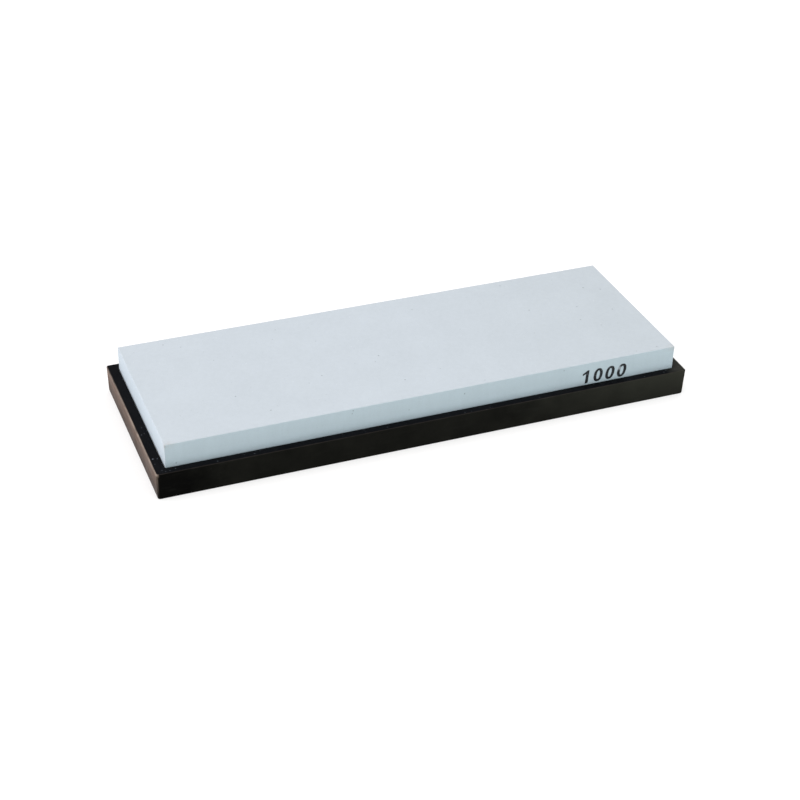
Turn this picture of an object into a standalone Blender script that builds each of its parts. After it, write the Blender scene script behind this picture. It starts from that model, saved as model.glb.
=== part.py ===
"""Sharpening whetstone: a water stone that lies in a moulded rubber base.

Run it with blender --background --python part.py, or from Blender's text editor.
Metres, +Z up. The origin is on the surface that the base stands on, below the middle of the stone.
+X runs along the stone, and the long side that carries the grit number faces -Y.
"""

import bpy
from mathutils import Matrix

# The stone, a sawn and ground block.
STONE_LENGTH = 0.180
STONE_WIDTH = 0.062
STONE_THICKNESS = 0.015
STONE_PROUD = 0.0083  # from the rim of the base up to the stone's top face
STONE_ARRIS = 0.0003  # the ground break on each of its twelve edges

# The base, a rubber tray.
RIM_HEIGHT = 0.0098
RIM_WIDTH_SIDE = 0.0032  # the rim's flat top beside the stone's long sides
RIM_WIDTH_END = 0.0038  # and beside its ends
WALL_DRAFT = 0.0002  # how far each outer wall leans in, from the rim down to the foot
BASE_CORNER_RADIUS = 0.0007
BASE_FOOT_RADIUS = 0.0005
BASE_RIM_RADIUS = 0.0004

# The recess that the stone lies in.
SEAT_GAP = 0.0003  # clearance between stone and rubber, all round and below
RECESS_CORNER_RADIUS = 0.0006
MOUTH_CHAMFER = 0.0002

# Shallow grooves: in the recess floor they let water drain, under the foot they help it grip.
GROOVE_COUNT = 6
GROOVE_PITCH = 0.009
DRAIN_WIDTH = 0.002
DRAIN_DEPTH = 0.0005
DRAIN_END_MARGIN = 0.006  # from the groove's end to the recess wall
TREAD_WIDTH = 0.003
TREAD_DEPTH = 0.0006
TREAD_END_MARGIN = 0.008  # from the groove's end to the outer wall

# Worked out from the above.
STONE_TOP = RIM_HEIGHT + STONE_PROUD
STONE_BOTTOM = STONE_TOP - STONE_THICKNESS
RECESS_FLOOR = STONE_BOTTOM - SEAT_GAP
RECESS_LENGTH = STONE_LENGTH + 2 * SEAT_GAP
RECESS_WIDTH = STONE_WIDTH + 2 * SEAT_GAP
BASE_LENGTH = STONE_LENGTH + 2 * RIM_WIDTH_END
BASE_WIDTH = STONE_WIDTH + 2 * RIM_WIDTH_SIDE
CUT_PAST = 0.002  # how far a cutter runs past the face that it opens

# Colours, as linear values.
STONE_COLOUR = (0.62, 0.71, 0.77, 1.0)
RUBBER_COLOUR = (0.018, 0.018, 0.017, 1.0)


def clear_scene():
    for obj in list(bpy.data.objects):
        bpy.data.objects.remove(obj)


def new_collection(name):
    collection = bpy.data.collections.new(name)
    bpy.context.scene.collection.children.link(collection)
    return collection


def material(name, colour, roughness, metallic=0.0):
    made = bpy.data.materials.new(name)
    made.use_nodes = True
    shader = made.node_tree.nodes["Principled BSDF"]
    shader.inputs["Base Color"].default_value = colour
    shader.inputs["Roughness"].default_value = roughness
    shader.inputs["Metallic"].default_value = metallic
    return made


def tapered_box(name, collection, top_size, bottom_size, z_low, z_high):
    """A box on the Z axis whose top and bottom faces may differ in size."""
    bpy.ops.mesh.primitive_cube_add(size=1, location=(0, 0, (z_low + z_high) / 2))
    obj = bpy.context.active_object
    obj.name = name
    obj.data.name = name
    for vertex in obj.data.vertices:
        size = top_size if vertex.co.z > 0 else bottom_size
        vertex.co.x *= size[0]
        vertex.co.y *= size[1]
    obj.data.transform(Matrix.Diagonal((1, 1, z_high - z_low, 1)))
    for other in list(obj.users_collection):
        other.objects.unlink(obj)
    collection.objects.link(obj)
    return obj


def round_edges(obj, upright=0.0, top=0.0, bottom=0.0, segments=3):
    """Rounds the upright, top and bottom edges of a box, each to its own radius."""
    widest = max(upright, top, bottom)
    weights = obj.data.attributes.new("bevel_weight_edge", "FLOAT", "EDGE")
    for edge in obj.data.edges:
        ends = [obj.data.vertices[i].co.z for i in edge.vertices]
        radius = upright if min(ends) * max(ends) < 0 else top if ends[0] > 0 else bottom
        weights.data[edge.index].value = radius / widest
    bevel = obj.modifiers.new("rounded_edges", "BEVEL")
    bevel.limit_method = "WEIGHT"
    bevel.width = widest
    bevel.segments = segments


def repeat_across(obj, count, pitch):
    """Repeats obj along Y, with the row centred where obj was."""
    obj.location.y -= pitch * (count - 1) / 2
    array = obj.modifiers.new("row", "ARRAY")
    array.use_relative_offset = False
    array.use_constant_offset = True
    array.constant_offset_displace = (0, pitch, 0)
    array.count = count


def cut(obj, cutter):
    cutter.hide_render = True
    cutter.display_type = "WIRE"
    boolean = obj.modifiers.new("cut_by_" + cutter.name, "BOOLEAN")
    boolean.operation = "DIFFERENCE"
    boolean.object = cutter


def make_whetstone(parts):
    size = (STONE_LENGTH, STONE_WIDTH)
    stone = tapered_box("whetstone", parts, size, size, STONE_BOTTOM, STONE_TOP)
    round_edges(stone, STONE_ARRIS, STONE_ARRIS, STONE_ARRIS, segments=2)
    stone.data.materials.append(material("abrasive_stone", STONE_COLOUR, 0.9))
    return stone


def make_rubber_base(parts, cutters):
    top = (BASE_LENGTH, BASE_WIDTH)
    foot = (BASE_LENGTH - 2 * WALL_DRAFT, BASE_WIDTH - 2 * WALL_DRAFT)
    base = tapered_box("rubber_base", parts, top, foot, 0, RIM_HEIGHT)
    round_edges(base, BASE_CORNER_RADIUS, BASE_RIM_RADIUS, BASE_FOOT_RADIUS, segments=4)
    for cutter in (
        recess_cutter(cutters),
        mouth_cutter(cutters),
        drain_cutter(cutters),
        tread_cutter(cutters),
    ):
        cut(base, cutter)
    base.data.materials.append(material("black_rubber", RUBBER_COLOUR, 0.45))
    return base


def recess_cutter(cutters):
    size = (RECESS_LENGTH, RECESS_WIDTH)
    cutter = tapered_box(
        "recess", cutters, size, size, RECESS_FLOOR, RIM_HEIGHT + CUT_PAST
    )
    round_edges(cutter, upright=RECESS_CORNER_RADIUS)
    return cutter


def mouth_cutter(cutters):
    """A flared plug that breaks the recess's upper edge at 45 degrees."""
    flare = 2 * (MOUTH_CHAMFER + CUT_PAST)
    cutter = tapered_box(
        "recess_mouth",
        cutters,
        (RECESS_LENGTH + flare, RECESS_WIDTH + flare),
        (RECESS_LENGTH, RECESS_WIDTH),
        RIM_HEIGHT - MOUTH_CHAMFER,
        RIM_HEIGHT + CUT_PAST,
    )
    round_edges(cutter, upright=RECESS_CORNER_RADIUS)
    return cutter


def groove_cutter(name, cutters, length, width, z_low, z_high):
    size = (length, width)
    cutter = tapered_box(name, cutters, size, size, z_low, z_high)
    round_edges(cutter, upright=0.45 * width)
    repeat_across(cutter, GROOVE_COUNT, GROOVE_PITCH)
    return cutter


def drain_cutter(cutters):
    return groove_cutter(
        "drain_grooves",
        cutters,
        RECESS_LENGTH - 2 * DRAIN_END_MARGIN,
        DRAIN_WIDTH,
        RECESS_FLOOR - DRAIN_DEPTH,
        RECESS_FLOOR + CUT_PAST,
    )


def tread_cutter(cutters):
    return groove_cutter(
        "tread_grooves",
        cutters,
        BASE_LENGTH - 2 * TREAD_END_MARGIN,
        TREAD_WIDTH,
        -CUT_PAST,
        TREAD_DEPTH,
    )


def main():
    clear_scene()
    parts = new_collection("sharpening_whetstone")
    cutters = new_collection("cutters")
    make_whetstone(parts)
    make_rubber_base(parts, cutters)


main()
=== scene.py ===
"""Looks of the sharpening whetstone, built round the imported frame.

Metres, +Z up, in the frame's own coordinates: +X runs along the stone, and the long side that
carries the grit number faces -Y. Both CAD nodes are replaced by finer meshes of the same shape.
"""

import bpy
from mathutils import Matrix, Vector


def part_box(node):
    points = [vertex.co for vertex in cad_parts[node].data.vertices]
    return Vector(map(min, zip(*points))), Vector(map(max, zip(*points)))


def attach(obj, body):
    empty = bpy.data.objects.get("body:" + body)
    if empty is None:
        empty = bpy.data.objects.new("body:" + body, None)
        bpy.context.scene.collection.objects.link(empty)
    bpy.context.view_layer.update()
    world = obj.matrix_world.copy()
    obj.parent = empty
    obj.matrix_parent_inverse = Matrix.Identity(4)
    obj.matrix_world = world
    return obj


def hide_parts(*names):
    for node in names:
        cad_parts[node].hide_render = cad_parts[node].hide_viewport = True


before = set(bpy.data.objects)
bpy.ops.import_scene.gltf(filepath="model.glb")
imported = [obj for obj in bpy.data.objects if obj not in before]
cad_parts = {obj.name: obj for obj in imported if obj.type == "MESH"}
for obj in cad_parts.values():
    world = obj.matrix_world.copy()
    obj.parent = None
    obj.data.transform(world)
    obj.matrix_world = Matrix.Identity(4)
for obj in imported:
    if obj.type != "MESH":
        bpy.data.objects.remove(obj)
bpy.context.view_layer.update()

import math
import random

import bmesh
import bpy
import numpy as np
from mathutils import Matrix, Vector, noise
from mathutils.geometry import tessellate_polygon

MM = 0.001

# Places, from the frame.
STONE_LOW, STONE_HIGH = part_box("whetstone")
BASE_LOW, BASE_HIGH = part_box("rubber_base")
RIM_Z = BASE_HIGH.z
FRONT_Y = STONE_LOW.y

# The stone's mesh.
ARRIS = 0.26 * MM  # mean radius of the broken edges
ARRIS_LOOPS = 6  # mesh segments in the strip along each edge
ARRIS_STRIP = 0.1 * MM  # the width of each of them
STONE_SEGMENTS = (260, 92, 30)  # along X, Y and Z
ARRIS_WANDER = ((0.28, 5 * MM, 0.0), (0.16, 1.1 * MM, 7.0))  # share, size and seed of each noise
ARRIS_REACH = 2 * MM  # further than this from every edge, nothing moves
ARRIS_FULL = 0.18 * MM  # a vertex that moved this far is all arris
CHIP_COUNT = 46
CHIP_SEED = 11
CHIP_LENGTHS = (0.4, 1.1)  # millimetres, shortest and longest
CHIP_DEPTHS = (0.08, 0.28)
STAIN_REACH = 1.6 * MM

# The base's mesh, with the recess and grooves of the CAD base.
SEAT_GAP = 0.3 * MM  # between the stone and the recess
FLOOR_Z = STONE_LOW.z - SEAT_GAP
CORNER_RADIUS = 0.7 * MM
RECESS_CORNER = 0.6 * MM
FOOT_RADIUS = 0.5 * MM
RIM_RADIUS = 0.4 * MM
MOUTH_RADIUS = 0.2 * MM
FLOOR_FILLET = 0.4 * MM
WALL_DRAFT = 0.2 * MM
RIM_WAVE = 0.07 * MM  # how far the moulded walls and rim wander
WAVE_NOISE = ((0.35, 22 * MM, 0.0), (0.25, 5 * MM, 3.0))  # share, size and seed of each noise
BASE_SIDE_STEPS = (150, 56)  # mesh segments along a long side and an end
GROOVE_COUNT, GROOVE_PITCH = 6, 9 * MM
DRAIN_WIDTH, DRAIN_DEPTH, DRAIN_END_MARGIN = 2 * MM, 0.5 * MM, 6 * MM
TREAD_WIDTH, TREAD_DEPTH, TREAD_END_MARGIN = 3 * MM, 0.6 * MM, 8 * MM

# The grit number.
DIGIT_HEIGHT, DIGIT_WIDTH = 5.1 * MM, 3.35 * MM
STEM_STROKE = 1.08 * MM  # the width of upright strokes
BOW_STROKE = 0.86 * MM  # the thickness of the zero's top and bottom
ZERO_STEPS = 56
ZERO_POWERS = (0.86, 0.92)  # 1 would be an ellipse, less is squarer
FLAG_LENGTH, FLAG_DROP, FLAG_ROOT_DROP = 1.25 * MM, 1.55 * MM, 1.35 * MM
FLAG_END_UP, FLAG_END_DOWN = 0.36 * MM, 0.34 * MM
DIGIT_PITCH = 4.5 * MM
DIGIT_SLANTS = [math.radians(a) for a in (3.5, 5, 8, 8)]  # stamped a little unevenly
DIGIT_BASELINE = 0.3 * MM  # above the rim
DIGIT_FROM_END = 20.0 * MM  # from the stone's end to the middle of the last digit
ONE_SHIFT = 0.3 * MM  # the one stands this much nearer to the zeros
INK_THICKNESS = 0.02 * MM
INK_SPREAD = 0.05 * MM  # how far a printed edge wanders
INK_SPREAD_SIZE = 0.5 * MM  # over about that length
WEAR_CENTRE = Vector((-1.2, 1.0)) * MM  # on the last zero, from its middle
WEAR_REACH = 1.2 * MM

# The camera, which looks at a point in the near half of the base.
CAMERA_TARGET = Vector((-6.4, -18.5, 9.2)) * MM
CAMERA_AZIMUTH, CAMERA_ELEVATION, CAMERA_ROLL = map(math.radians, (-22.24, 33.02, 1.60))
CAMERA_DISTANCE = 0.554
CAMERA_LENS = 74.6

# The floor.
FLOOR_HALF_SIZE = 4.0
FLOOR_GAP = 0.02 * MM  # under the base, so that the two faces don't flicker
FLOOR_COLOUR = (0.42, 0.42, 0.42, 1.0)
FLOOR_GLOW = (0.58, 0.58, 0.58, 1.0)


def sphere_direction(azimuth, elevation):
    """The unit vector towards a place round the object: azimuth 0 is at -Y, 90 degrees at +X."""
    flat = math.cos(elevation)
    return Vector((math.sin(azimuth) * flat, -math.cos(azimuth) * flat, math.sin(elevation)))


def link(name, mesh):
    obj = bpy.data.objects.new(name, mesh)
    bpy.context.scene.collection.objects.link(obj)
    return obj


def mesh_from(bm, name):
    bmesh.ops.recalc_face_normals(bm, faces=bm.faces)
    mesh = bpy.data.meshes.new(name)
    bm.to_mesh(mesh)
    bm.free()
    mesh.shade_smooth()
    return mesh


def wander(point, size, seed=0.0):
    """Smooth noise from -1 to 1 that changes over about that size."""
    return noise.noise(Vector(point) / size + Vector((seed, 2 * seed, -seed)))


def layered_wander(point, layers):
    """The sum of several noises, each given by its share, size and seed."""
    return sum(share * wander(point, size, seed) for share, size, seed in layers)


def clamped(value):
    return max(0.0, min(1.0, value))


# Materials


class Shader:
    """One material's node tree, with short calls for the nodes that this script uses."""

    def __init__(self, name):
        self.material = bpy.data.materials.new(name)
        self.material.use_nodes = True
        self.tree = self.material.node_tree
        self.surface = self.tree.nodes["Principled BSDF"]
        coordinates = self.tree.nodes.new("ShaderNodeTexCoord")
        self.place, self.normal = coordinates.outputs["Object"], coordinates.outputs["Normal"]

    def parts(self, vector):
        """The X, Y and Z of a vector."""
        return self.node("SeparateXYZ", {"Vector": vector}).outputs

    def put(self, socket, value):
        if isinstance(value, bpy.types.NodeSocket):
            self.tree.links.new(value, socket)
        else:
            socket.default_value = value

    def node(self, kind, inputs, **settings):
        made = self.tree.nodes.new("ShaderNode" + kind)
        for key, value in settings.items():
            setattr(made, key, value)
        for key, value in inputs.items():
            self.put(made.inputs[key], value)
        return made

    def set(self, **values):
        """Puts values into the surface's inputs, whose names are given with underscores."""
        for key, value in values.items():
            self.put(self.surface.inputs[key.replace("_", " ")], value)

    def stretched(self, scale):
        return self.node("Mapping", {"Vector": self.place, "Scale": scale}).outputs["Vector"]

    def noise(self, size, detail=2.0, roughness=0.5, stretch=None):
        """Noise round 0.5, with lumps of about that size."""
        place = self.stretched(stretch) if stretch else self.place
        inputs = {"Vector": place, "Scale": 1 / size, "Detail": detail, "Roughness": roughness}
        return self.node("TexNoise", inputs).outputs["Fac"]

    def specks(self, spacing, radius, share, shift=(0, 0, 0)):
        """1 inside small uneven specks, which only that share of the cells holds."""
        place = self.node("Mapping", {"Vector": self.place, "Location": shift}).outputs["Vector"]
        ragged = {"Vector": place, "Scale": 0.8 / radius, "Detail": 2.0}
        wobble = self.node("TexNoise", ragged).outputs["Color"]
        moved = self.node("VectorMath", {}, operation="MULTIPLY_ADD")
        for socket, value in zip(moved.inputs, (wobble, (1.3 * radius,) * 3, place)):
            self.put(socket, value)
        cells = self.node("TexVoronoi", {"Vector": moved.outputs["Vector"], "Scale": 1 / spacing})
        pick = self.node("SeparateColor", {"Color": cells.outputs["Color"]}).outputs
        size = self.span(pick["Green"], 0.0, 1.0, 0.45, 1.25)
        away = self.maths("DIVIDE", cells.outputs["Distance"], size)
        inside = self.span(away, radius / spacing, 0.45 * radius / spacing)
        return self.times(inside, self.maths("LESS_THAN", pick["Red"], share))

    def span(self, value, low, high, to_low=0.0, to_high=1.0):
        """Value mapped from low..high to 0..1, or to the given range, and clamped."""
        limits = {"From Min": low, "From Max": high, "To Min": to_low, "To Max": to_high}
        return self.node("MapRange", {"Value": value, **limits}).outputs["Result"]

    def maths(self, operation, *values):
        made = self.node("Math", {}, operation=operation)
        for socket, value in zip(made.inputs, values):
            self.put(socket, value)
        return made.outputs["Value"]

    def times(self, first, *others):
        """The product of all the values."""
        for other in others:
            first = self.maths("MULTIPLY", first, other)
        return first

    def mix(self, factor, first, second, blend="MIX"):
        made = self.node("Mix", {}, data_type="RGBA", blend_type=blend)
        colours = [s for s in made.inputs if s.type == "RGBA"]
        self.put(made.inputs["Factor"], factor)
        self.put(colours[0], first)
        self.put(colours[1], second)
        return next(s for s in made.outputs if s.type == "RGBA")

    def attribute(self, name):
        return self.node("Attribute", {}, attribute_name=name).outputs["Fac"]

    def bump(self, height, depth, strength):
        inputs = {"Height": height, "Distance": depth, "Strength": strength}
        return self.node("Bump", inputs).outputs["Normal"]


# The stone's colours.
STONE_FACE = (0.455, 0.504, 0.547, 1.0)
STONE_FACE_PAINTED_SHADE = (0.436, 0.483, 0.520, 1.0)
STONE_SIDE_PAINTED_COOL_LIGHT = (0.415, 0.498, 0.538, 1.0)
STONE_SIDE_PAINTED_LIGHT = (0.470, 0.567, 0.618, 1.0)
PORE = (0.78, 0.82, 0.85, 1.0)
DARK_SPECK = (0.13, 0.15, 0.17, 1.0)
FAINT_SPECK = (0.2, 0.24, 0.28, 1.0)
WORN_ARRIS = (0.52, 0.53, 0.52, 1.0)
TAN_STAIN = (0.30, 0.235, 0.17, 1.0)

# The base's colours.
RIM_SHADE_AND_REFLECTION_BLACKS = (0.0026, 0.0030, 0.0040, 1.0), (0.0046, 0.0050, 0.0062, 1.0)
WALL_BLACKS = (0.0040, 0.0041, 0.0032, 1.0), (0.0075, 0.0076, 0.0060, 1.0)
PAINTED_SHADE_BLACK = (0.0004, 0.0004, 0.0003, 1.0)
WALL_PAINTED_LIGHT = (0.026, 0.027, 0.021, 1.0)
RIM_END_GREY = (0.022, 0.023, 0.019, 1.0)
RUB_MARK = (0.014, 0.014, 0.012, 1.0)
PAINTED_EDGE_HIGHLIGHT = (0.36, 0.29, 0.24, 1.0)
BROWN_PAINTED_REFLECTION = (0.080, 0.057, 0.040, 1.0)
WHITE_DUST = (0.34, 0.38, 0.44, 1.0)
LINT = (0.30, 0.30, 0.28, 1.0)
SHEEN_TINTS = (1.0, 0.52, 0.32, 1.0), (1.0, 0.62, 0.48, 1.0)  # at the foot and at the rim

# The number's colours.
INKS = (0.006, 0.007, 0.009, 1.0), (0.016, 0.018, 0.021, 1.0)
BARE_STONE = (0.50, 0.56, 0.61, 1.0)


def stone_material():
    """Matte bonded grit: a fine grain, faint mottling, sparse dark specks and pale pores."""
    s = Shader("abrasive_stone")
    place, facing = s.parts(s.place), s.parts(s.normal)
    # The faces are painted a shade greyer towards the number's end: painted shade.
    face_with_painted_shade = s.mix(s.span(place["X"], 10 * MM, 85 * MM), STONE_FACE, STONE_FACE_PAINTED_SHADE)
    # The long sides are painted cooler than the faces, a painted cool light, and paler just above
    # the rim, painted light against the shade there.
    long_side_painted_light = s.mix(s.span(place["Z"], RIM_Z, RIM_Z + 4 * MM), STONE_SIDE_PAINTED_LIGHT, STONE_SIDE_PAINTED_COOL_LIGHT)
    # Painted light: the long sides take the cooler colour, paler near the rim.
    colour = s.mix(s.span(s.maths("ABSOLUTE", facing["Y"]), 0.6, 0.9), face_with_painted_shade, long_side_painted_light)

    mottling = s.span(s.noise(14 * MM, 3.0, 0.55), 0.3, 0.7, 0.982, 1.014)
    streaks = s.span(s.noise(1.6 * MM, 2.0, 0.5, stretch=(1, 1, 0.2)), 0.3, 0.7, 0.985, 1.015)
    grain = s.span(s.noise(0.35 * MM, 2.0, 0.7), 0.25, 0.75, 0.965, 1.03)
    tone = s.times(mottling, streaks, grain)
    shade = s.node("CombineColor", {"Red": tone, "Green": tone, "Blue": tone}).outputs["Color"]
    colour = s.mix(1.0, colour, shade, "MULTIPLY")

    pores = s.specks(1.6 * MM, 0.16 * MM, 0.35, shift=(3.1, 1.7, 0.4))
    dark = s.specks(2.8 * MM, 0.30 * MM, 0.24)
    faint = s.specks(1.7 * MM, 0.25 * MM, 0.34, shift=(0.9, 4.2, 2.2))
    worn = s.times(s.attribute("arris"), s.span(s.noise(2.2 * MM, 3.0), 0.35, 0.7))
    stain = s.times(s.attribute("stain"), s.span(s.noise(0.8 * MM, 3.0), 0.3, 0.6))
    for mark, strength, paint in (
        (pores, 0.35, PORE),
        (dark, 0.62, DARK_SPECK),
        (faint, 0.22, FAINT_SPECK),
        (worn, 0.3, WORN_ARRIS),
        (stain, 0.7, TAN_STAIN),
    ):
        colour = s.mix(s.times(mark, strength), colour, paint)

    relief = s.maths("SUBTRACT", s.noise(0.28 * MM, 3.0, 0.65), s.maths("ADD", pores, dark))
    s.set(
        Base_Color=colour,
        Roughness=s.span(s.noise(0.6 * MM, 2.0), 0.3, 0.7, 0.82, 0.95),
        Specular_IOR_Level=0.3,
        Normal=s.bump(relief, 0.03 * MM, 0.7),
    )
    return s.material


def rubber_material():
    """Satin black rubber: a fine moulded texture, a greyer end that is partly painted light,
    painted shade and reflection, painted highlights on the edges and a little dust.
    """
    s = Shader("black_rubber")
    place, facing = s.parts(s.place), s.parts(s.normal)
    cloud = s.noise(9 * MM, 4.0, 0.6)
    patch = s.span(cloud, 0.3, 0.7)
    along = s.maths("ADD", place["X"], s.times(cloud, 30 * MM))
    wall = s.span(s.maths("ABSOLUTE", facing["Z"]), 0.2, 0.8, 1.0, 0.0)
    upward = s.span(facing["Z"], 0.2, 0.8)
    wall_tone = s.mix(patch, *WALL_BLACKS)
    # Painted shade: the walls darken towards the end without the number.
    wall_tone = s.mix(s.span(along, -55 * MM, -72 * MM, 0.0, 0.85), wall_tone, PAINTED_SHADE_BLACK)
    # The rim tops take a darker, bluer black than the walls: painted shade and a painted reflection
    # of the stone.
    colour = s.mix(wall, s.mix(patch, *RIM_SHADE_AND_REFLECTION_BLACKS), wall_tone)

    # Painted light: the walls are painted greyer towards the end with the number and towards their
    # top. The rim is greyer at that end too.
    upper = s.span(place["Z"], 0.5 * MM, RIM_Z, 0.35, 1.0)
    wall_painted_light = s.times(s.span(along, 38 * MM, 110 * MM), wall, upper)
    colour = s.mix(wall_painted_light, colour, WALL_PAINTED_LIGHT)
    far_rim = s.times(s.span(along, 100 * MM, 108 * MM), upward)
    colour = s.mix(far_rim, colour, RIM_END_GREY)
    rub = s.noise(2.4 * MM, 4.0, 0.65, stretch=(0.25, 0.25, 1.6))
    colour = s.mix(s.span(rub, 0.58, 0.76, 0.0, 0.35), colour, RUB_MARK)

    # Edges are painted pale, a painted highlight: faintly along the top, and well down the wall and
    # corners of the end without the number.
    near_end = s.span(place["X"], BASE_LOW.x + 1.0 * MM, BASE_LOW.x + 0.3 * MM)
    off_level = s.span(facing["Z"], 0.97, 0.8)
    top_band = s.span(place["Z"], RIM_Z - 0.6 * MM, RIM_Z - 0.3 * MM)
    upper_edge = s.times(top_band, s.span(facing["Z"], 0.1, 0.4), off_level)
    wall_band = s.span(place["Z"], RIM_Z - 1.5 * MM, RIM_Z - 0.4 * MM)
    end_wall_highlight = s.times(near_end, wall_band, s.span(place["Y"], -5 * MM, 25 * MM, 0.75, 0.3))
    corner = s.maths("ABSOLUTE", s.times(facing["X"], facing["Y"]))
    corner_band = s.span(place["Z"], 2 * MM, RIM_Z, 0.05, 0.4)
    corner = s.times(near_end, s.span(corner, 0.15, 0.4), corner_band)
    edge = s.maths("MAXIMUM", end_wall_highlight, corner)
    edge = s.maths("MAXIMUM", s.times(upper_edge, 0.04), edge)
    broken = s.span(s.noise(3 * MM, 4.0, 0.6), 0.35, 0.6, 0.5, 1.0)
    # Painted highlight on the edges.
    colour = s.mix(s.times(edge, off_level, broken), colour, PAINTED_EDGE_HIGHLIGHT)

    # A brown painted reflection lies on the wall of that end, and white dust lies mostly on its
    # rim.
    patchy = s.span(s.noise(0.9 * MM, 4.0, 0.75), 0.3, 0.7, 0.35, 0.65)
    by_height = s.span(place["Z"], MM, RIM_Z, 0.05, 0.7)
    colour = s.mix(s.times(near_end, wall, patchy, by_height), colour, BROWN_PAINTED_REFLECTION)
    drifts = s.span(s.noise(14 * MM, 2.0), 0.44, 0.6)
    by_length = s.span(place["X"], -86 * MM, -60 * MM, 1.0, 0.15)
    dust = s.specks(1.1 * MM, 0.27 * MM, 0.45, shift=(5.3, 0.2, 1.1))
    dust = s.times(dust, drifts, s.span(upward, 0.5, 1.0), by_length)
    colour = s.mix(s.times(dust, 0.75), colour, WHITE_DUST)
    lint = s.specks(3.4 * MM, 0.15 * MM, 0.3, shift=(0.4, 7.7, 2.9))
    colour = s.mix(s.times(lint, 0.07), colour, LINT)

    uneven = s.maths("ADD", s.span(cloud, 0.3, 0.7, 0.28, 0.38), s.span(rub, 0.4, 0.7, 0.0, 0.1))
    sheen = s.span(place["Z"], MM, RIM_Z - MM, 0.28, 1.0)
    other_edges = s.maths("SUBTRACT", upper_edge, near_end)
    s.set(
        Base_Color=colour,
        Roughness=s.maths("MAXIMUM", uneven, s.times(dust, 0.9)),
        Specular_IOR_Level=s.span(near_end, 0.0, 1.0, 0.02, 0.018),
        Sheen_Weight=s.times(sheen, s.span(other_edges, 0.0, 1.0, 1.0, 0.25)),
        Sheen_Roughness=0.16,
        Sheen_Tint=s.mix(s.span(place["Z"], 0.0, RIM_Z), *SHEEN_TINTS),
        Normal=s.bump(s.noise(0.45 * MM, 3.0, 0.6), 0.02 * MM, 0.5),
    )
    return s.material


def ink_material():
    """Black stamping ink, thin and broken where the print has worn."""
    s = Shader("marking_ink")
    gaps = s.span(s.noise(0.5 * MM, 3.0, 0.6), 0.60, 0.70)
    worn = s.times(s.attribute("worn"), s.span(s.noise(0.7 * MM, 3.0, 0.7), 0.30, 0.55))
    thin = s.maths("MAXIMUM", s.times(gaps, 0.4), worn)
    s.set(
        Base_Color=s.mix(thin, s.mix(s.noise(0.9 * MM), *INKS), BARE_STONE),
        Roughness=s.span(thin, 0.0, 1.0, 0.55, 0.9),
        Specular_IOR_Level=0.2,
        Normal=s.bump(s.noise(0.3 * MM, 2.0), 0.01 * MM, 0.5),
    )
    return s.material


def glowing_material(name, colour, glow):
    """A matte surface that is also lit from below, so that shadows on it stay faint."""
    s = Shader(name)
    s.set(Base_Color=colour, Roughness=0.9, Emission_Color=glow, Emission_Strength=1.0)
    return s.material


# The stone


def packed_to_edges(u, segments, length):
    """Maps -1..1, in even steps, to places along a side, with narrow steps at either end."""
    step = np.rint((u + 1) / 2 * segments)
    from_end = np.minimum(step, segments - step)
    strip = ARRIS_LOOPS * ARRIS_STRIP
    wide = (length / 2 - strip) / (segments / 2 - ARRIS_LOOPS)
    narrow_part, wide_part = from_end * ARRIS_STRIP, strip + (from_end - ARRIS_LOOPS) * wide
    depth = np.where(from_end <= ARRIS_LOOPS, narrow_part, wide_part)
    return np.where(step < segments / 2, -1, 1) * (length / 2 - depth)


def sliced_block(size, segments):
    """A block of that size about the origin, as a grid of quads that is fine along its edges."""
    bm = bmesh.new()
    bmesh.ops.create_cube(bm, size=2.0)
    for axis in range(3):
        along = [e for e in bm.edges if abs(e.verts[0].co[axis] - e.verts[1].co[axis]) > 1.5]
        bmesh.ops.subdivide_edges(bm, edges=along, cuts=segments[axis] - 1, use_grid_fill=True)
    points = np.array([v.co for v in bm.verts])
    for axis in range(3):
        points[:, axis] = packed_to_edges(points[:, axis], segments[axis], size[axis])
    for vertex, point in zip(bm.verts, points):
        vertex.co = point
    return bm


def chip_list(half):
    """The place, length and depth of small nicks along the block's edges."""
    rng = random.Random(CHIP_SEED)
    chips = []
    for _ in range(CHIP_COUNT):
        along = rng.choices((0, 1, 2), weights=(8, 3, 1))[0]
        place = [rng.choice((-1, 1)) * h for h in half]
        place[along] = rng.uniform(-1, 1) * half[along]
        length = rng.uniform(*CHIP_LENGTHS) * MM
        depth = rng.uniform(*CHIP_DEPTHS) * MM
        chips.append((Vector(place), length, depth))
    return chips


def break_edges(bm, half):
    """Rounds the block's edges unevenly and nicks them. Each vertex keeps how much of an arris it
    is, and how stained, as it does near the two top corners of the front side.
    """
    arris = bm.verts.layers.float.new("arris")
    stain = bm.verts.layers.float.new("stain")
    chips = chip_list(half)
    corners = [Vector((x, -half.y, half.z)) for x in (-half.x, half.x)]
    for vertex in bm.verts:
        inset = [half[i] - abs(vertex.co[i]) for i in range(3)]
        if sorted(inset)[1] > ARRIS_REACH:
            continue
        place = vertex.co.copy()
        radius = ARRIS * (1 + layered_wander(place, ARRIS_WANDER))
        for at, length, depth in chips:
            away = (place - at).length
            if away < 3 * length:
                radius += depth * math.exp(-((away / length) ** 2))
        limits = [half[i] - radius for i in range(3)]
        core = Vector([max(-limits[i], min(limits[i], place[i])) for i in range(3)])
        out = place - core
        if out.length > 1e-9:
            vertex.co = core + out.normalized() * radius
        vertex[arris] = clamped((place - vertex.co).length / ARRIS_FULL)
        gaps = [place - corner for corner in corners]
        near = min(Vector((gap.x * 0.55, gap.y, gap.z)).length for gap in gaps)
        vertex[stain] = math.exp(-((near / STAIN_REACH) ** 2)) * (0.4 + 0.6 * vertex[arris])


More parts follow.
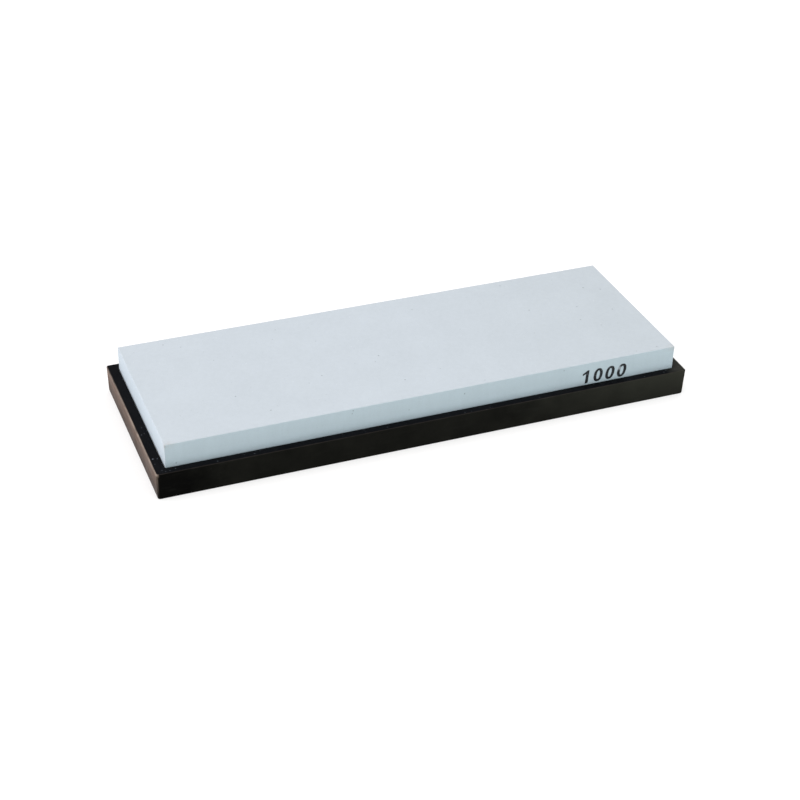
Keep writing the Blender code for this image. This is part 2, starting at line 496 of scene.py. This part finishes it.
def make_stone():
    half = (STONE_HIGH - STONE_LOW) / 2
    bm = sliced_block(2 * half, STONE_SEGMENTS)
    break_edges(bm, half)
    bmesh.ops.translate(bm, vec=(STONE_LOW + STONE_HIGH) / 2, verts=bm.verts)
    stone = link("whetstone_block", mesh_from(bm, "whetstone_block"))
    stone.data.materials.append(stone_material())
    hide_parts("whetstone")
    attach(stone, "stone")


# The base


def arc(start, end, segments):
    """The angles from start to end, in degrees, as radians."""
    return [math.radians(start + (end - start) * k / segments) for k in range(segments + 1)]


def outline(half_x, half_y, radius, side_steps, corner_steps=6):
    """Points round a rounded rectangle, always as many for the same steps."""
    core_x, core_y = half_x - radius, half_y - radius
    centres = [Vector((x * core_x, y * core_y)) for x, y in ((1, 1), (-1, 1), (-1, -1), (1, -1))]
    points = []
    for quarter, centre in enumerate(centres):
        angles = arc(90 * quarter, 90 * quarter + 90, corner_steps)
        spokes = [radius * Vector((math.cos(a), math.sin(a))) for a in angles]
        points += [centre + spoke for spoke in spokes]
        side_start, side_end = points[-1], centres[(quarter + 1) % 4] + spokes[-1]
        steps = side_steps[quarter % 2]
        points += [side_start.lerp(side_end, k / steps) for k in range(1, steps)]
    return points


def skin(bm, loops):
    """Faces between loops that have as many vertices each, and one face over either end."""
    for lower, upper in zip(loops, loops[1:]):
        for k in range(len(lower)):
            j = (k + 1) % len(lower)
            bm.faces.new((lower[k], lower[j], upper[j], upper[k]))
    bm.faces.new(loops[0])
    bm.faces.new(loops[-1])


def bend(inset, z, radius, angles, side=-1):
    """Profile points on a circle about (inset, z), outside it or, with side 1, inside it."""
    return [(inset + side * radius * math.cos(a), z + radius * math.sin(a)) for a in angles]


def wall_profile(rim):
    """(inset from the outer wall, height) of each loop, from the foot over the rim to the floor."""
    foot_top, wall_top = FOOT_RADIUS, RIM_Z - RIM_RADIUS
    shares = [k / 7 for k in range(1, 7)]
    inner_top, inner_low = RIM_Z - MOUTH_RADIUS, FLOOR_Z + FLOOR_FILLET
    rings = bend(WALL_DRAFT + FOOT_RADIUS, foot_top, FOOT_RADIUS, arc(-90, 0, 5))
    rings += [(WALL_DRAFT * (1 - s), foot_top + s * (wall_top - foot_top)) for s in shares]
    rings += bend(RIM_RADIUS, wall_top, RIM_RADIUS, arc(0, 90, 4))
    rings += [(RIM_RADIUS + s * (rim - RIM_RADIUS - MOUTH_RADIUS), RIM_Z) for s in (0.33, 0.67)]
    rings += bend(rim - MOUTH_RADIUS, inner_top, MOUTH_RADIUS, arc(90, 0, 4), side=1)
    rings.append((rim, (inner_top + inner_low) / 2))
    rings += bend(rim + FLOOR_FILLET, inner_low, FLOOR_FILLET, arc(0, -90, 4))
    return rings


def base_shell():
    """The tray without its grooves: loops round a rounded rectangle, skinned from foot to floor."""
    side_rim = BASE_HIGH.y - STONE_HIGH.y - SEAT_GAP  # the rim's width along the long sides
    end_rim = BASE_HIGH.x - STONE_HIGH.x - SEAT_GAP
    bm = bmesh.new()
    loops = []
    for inset, z in wall_profile(side_rim):
        past_rim = max(0.0, inset - side_rim)
        share = min(1.0, inset / side_rim)
        half_x = BASE_HIGH.x - share * end_rim - past_rim
        radius = CORNER_RADIUS + share * (RECESS_CORNER - CORNER_RADIUS)
        flat = outline(half_x, BASE_HIGH.y - inset, radius, BASE_SIDE_STEPS)
        loops.append([bm.verts.new((p.x, p.y, z)) for p in flat])
    skin(bm, loops)
    for vertex in bm.verts:
        p = vertex.co
        free = min(p.z / FOOT_RADIUS, 1.0) * min(max(p.z - FLOOR_Z, 0.0) / (2 * MM), 1.0)
        inward = Vector((-p.x / BASE_HIGH.x, -p.y / BASE_HIGH.y, 0))
        inward[1 if abs(inward.x) > abs(inward.y) else 0] = 0  # straight in from the nearer wall
        wave = 0.5 + layered_wander(p, WAVE_NOISE)
        vertex.co = p + inward.normalized() * RIM_WAVE * free * wave
    return mesh_from(bm, "rubber_tray")


def groove_block(length, width, low, high, y):
    """A cutter for one groove, with rounded ends."""
    bm = bmesh.new()
    radius = width * 0.499  # a hair under half, so that the outline stays open
    flat = outline(length / 2, width / 2, radius, side_steps=(1, 1), corner_steps=8)
    skin(bm, [[bm.verts.new((p.x, p.y + y, z)) for p in flat] for z in (low, high)])
    bmesh.ops.remove_doubles(bm, verts=bm.verts, dist=1e-6)
    return bm


def cut_grooves(tray, name, length, width, low, high):
    """Cuts a row of grooves along X out of the tray, between two heights."""
    bm = bmesh.new()
    for k in range(GROOVE_COUNT):
        y = (k - (GROOVE_COUNT - 1) / 2) * GROOVE_PITCH
        mesh = mesh_from(groove_block(length, width, low, high, y), name)
        bm.from_mesh(mesh)
        bpy.data.meshes.remove(mesh)
    cutter = link(name, mesh_from(bm, name))
    boolean = tray.modifiers.new(name, "BOOLEAN")
    boolean.object = cutter
    bpy.context.view_layer.update()
    evaluated = tray.evaluated_get(bpy.context.evaluated_depsgraph_get())
    cut = bpy.data.meshes.new_from_object(evaluated)
    tray.modifiers.clear()
    tray.data = cut
    bpy.data.objects.remove(cutter)


def make_base():
    tray = link("rubber_tray", base_shell())
    drain_length = 2 * (STONE_HIGH.x + SEAT_GAP - DRAIN_END_MARGIN)
    drain_heights = FLOOR_Z - DRAIN_DEPTH, FLOOR_Z + MM
    cut_grooves(tray, "drain_grooves", drain_length, DRAIN_WIDTH, *drain_heights)
    tread_length = 2 * (BASE_HIGH.x - TREAD_END_MARGIN)
    cut_grooves(tray, "tread_grooves", tread_length, TREAD_WIDTH, -MM, TREAD_DEPTH)
    tray.data.materials.clear()
    tray.data.materials.append(rubber_material())
    tray.data.set_sharp_from_angle(angle=math.radians(40))
    tray.modifiers.new("even_shading", "WEIGHTED_NORMAL").keep_sharp = True
    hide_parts("rubber_base")
    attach(tray, "base")


# The grit number


def zero_outlines():
    """Outer and inner points of a plain zero, about its own middle."""
    power_x, power_z = ZERO_POWERS
    loops = []
    for inset_x, inset_z in ((0, 0), (STEM_STROKE, BOW_STROKE)):
        a, b = DIGIT_WIDTH / 2 - inset_x, DIGIT_HEIGHT / 2 - inset_z
        loop = []
        for k in range(ZERO_STEPS):
            t = 2 * math.pi * k / ZERO_STEPS
            c, s = math.cos(t), math.sin(t)
            x = a * math.copysign(abs(c) ** power_x, c)
            loop.append(Vector((x, b * math.copysign(abs(s) ** power_z, s))))
        loops.append(loop)
    return loops


def one_outline():
    """A plain one: an upright stem with a short flag at its upper left."""
    w, h = STEM_STROKE / 2, DIGIT_HEIGHT / 2
    flag_x, flag_z = w + FLAG_LENGTH, h - FLAG_DROP
    flag_end = [(-flag_x, flag_z + FLAG_END_UP), (-flag_x, flag_z - FLAG_END_DOWN)]
    corners = [(-w, -h), (w, -h), (w, h), (-0.2 * w, h), *flag_end, (-w, h - FLAG_ROOT_DROP)]
    points = []
    for k, corner in enumerate(corners):
        start, end = Vector(corner), Vector(corners[(k + 1) % len(corners)])
        steps = max(1, round((end - start).length / (0.2 * MM)))
        points += [start.lerp(end, j / steps) for j in range(steps)]
    return points


def ragged(point):
    """A point of a printed edge, moved a little as ink spreads into the grain."""
    deep = Vector((point.x, point.y, 0.0))
    spread = [wander(deep, INK_SPREAD_SIZE, seed) for seed in (1.0, 5.0)]
    return point + INK_SPREAD * Vector(spread)


def last_wear(point):
    """How worn the last zero is at a point: it has lost ink at its upper left."""
    return clamped(1.05 - (point - WEAR_CENTRE).length / WEAR_REACH)


def no_wear(point):
    return 0.0


def make_number():
    bm = bmesh.new()
    worn = bm.verts.layers.float.new("worn")
    middle_z = RIM_Z + DIGIT_BASELINE + DIGIT_HEIGHT / 2
    middles_x = [STONE_HIGH.x - DIGIT_FROM_END - k * DIGIT_PITCH for k in (3, 2, 1, 0)]
    middles_x[0] += ONE_SHIFT

    def placed(points, middle_x, slant, wear=no_wear):
        made = []
        middle = Vector((middle_x, 0))
        for p in points:
            q = ragged(p + middle) - middle
            x = middle_x + q.x + q.y * math.tan(slant)
            vertex = bm.verts.new((x, FRONT_Y - INK_THICKNESS, middle_z + q.y))
            vertex[worn] = wear(q)
            made.append(vertex)
        return made

    one = placed(one_outline(), middles_x[0], DIGIT_SLANTS[0])
    for corners in tessellate_polygon([[p.to_3d() for p in one_outline()]]):
        bm.faces.new([one[i] for i in corners])
    zeros = zip(middles_x[1:], DIGIT_SLANTS[1:], (no_wear, no_wear, last_wear))
    for middle_x, slant, wear in zeros:
        outer, inner = [placed(loop, middle_x, slant, wear) for loop in zero_outlines()]
        for i in range(len(outer)):
            j = (i + 1) % len(outer)
            bm.faces.new((outer[i], outer[j], inner[j], inner[i]))
    back = bmesh.ops.extrude_face_region(bm, geom=bm.faces[:])["geom"]
    back_verts = [v for v in back if isinstance(v, bmesh.types.BMVert)]
    bmesh.ops.translate(bm, vec=(0, INK_THICKNESS * 0.8, 0), verts=back_verts)
    number = link("grit_number", mesh_from(bm, "grit_number"))
    number.data.shade_flat()
    number.data.materials.append(ink_material())
    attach(number, "stone")


# Camera, floor and light


def make_camera():
    back = sphere_direction(CAMERA_AZIMUTH, CAMERA_ELEVATION)
    camera = bpy.data.objects.new("camera", bpy.data.cameras.new("camera"))
    camera.data.lens = CAMERA_LENS
    camera.data.clip_start, camera.data.clip_end = 0.01, 50
    turn = back.to_track_quat("Z", "Y").to_matrix() @ Matrix.Rotation(CAMERA_ROLL, 3, "Z")
    camera.matrix_world = Matrix.Translation(CAMERA_TARGET + back * CAMERA_DISTANCE) @ turn.to_4x4()
    bpy.context.scene.collection.objects.link(camera)
    bpy.context.scene.camera = camera


def make_floor():
    bm = bmesh.new()
    bmesh.ops.create_grid(bm, x_segments=1, y_segments=1, size=FLOOR_HALF_SIZE)
    floor = link("floor", mesh_from(bm, "floor"))
    floor.location.z = -FLOOR_GAP
    floor.data.materials.append(glowing_material("light_table", FLOOR_COLOUR, FLOOR_GLOW))


# By name: azimuth and elevation in degrees, distance, width and height in metres, power in watts
# and colour.
LIGHTS = {
    "overhead": (-90, 74, 1.0, 0.9, 0.7, 6.4, (0.97, 0.895, 0.84)),
    "low_left": (-100, 10, 1.0, 0.6, 0.3, 5.6, (0.93, 0.97, 1.0)),
    "cool_fill": (45, 30, 1.2, 0.8, 0.6, 6.0, (0.94, 1.0, 0.96)),
    "back_right": (140, 40, 1.2, 0.9, 0.7, 3.0, (1.0, 0.92, 0.88)),
}
WORLD_COLOUR = (0.92, 0.94, 1.0, 1.0)
WORLD_STRENGTH = 0.57


def make_lights():
    for name, (azimuth, elevation, distance, width, height, power, colour) in LIGHTS.items():
        towards = sphere_direction(math.radians(azimuth), math.radians(elevation))
        lamp = bpy.data.lights.new(name, "AREA")
        lamp.shape = "RECTANGLE"
        lamp.size, lamp.size_y = width, height
        lamp.color = colour
        lamp.energy = power
        light = bpy.data.objects.new(name, lamp)
        light.location = towards * distance
        light.rotation_euler = towards.to_track_quat("Z", "Y").to_euler()
        bpy.context.scene.collection.objects.link(light)
    world = bpy.data.worlds.new("studio")
    world.use_nodes = True
    background = world.node_tree.nodes["Background"]
    background.inputs["Color"].default_value = WORLD_COLOUR
    background.inputs["Strength"].default_value = WORLD_STRENGTH
    bpy.context.scene.world = world
    bpy.context.scene.view_settings.view_transform = "Standard"


make_camera()
make_stone()
make_base()
make_number()
make_floor()
make_lights()
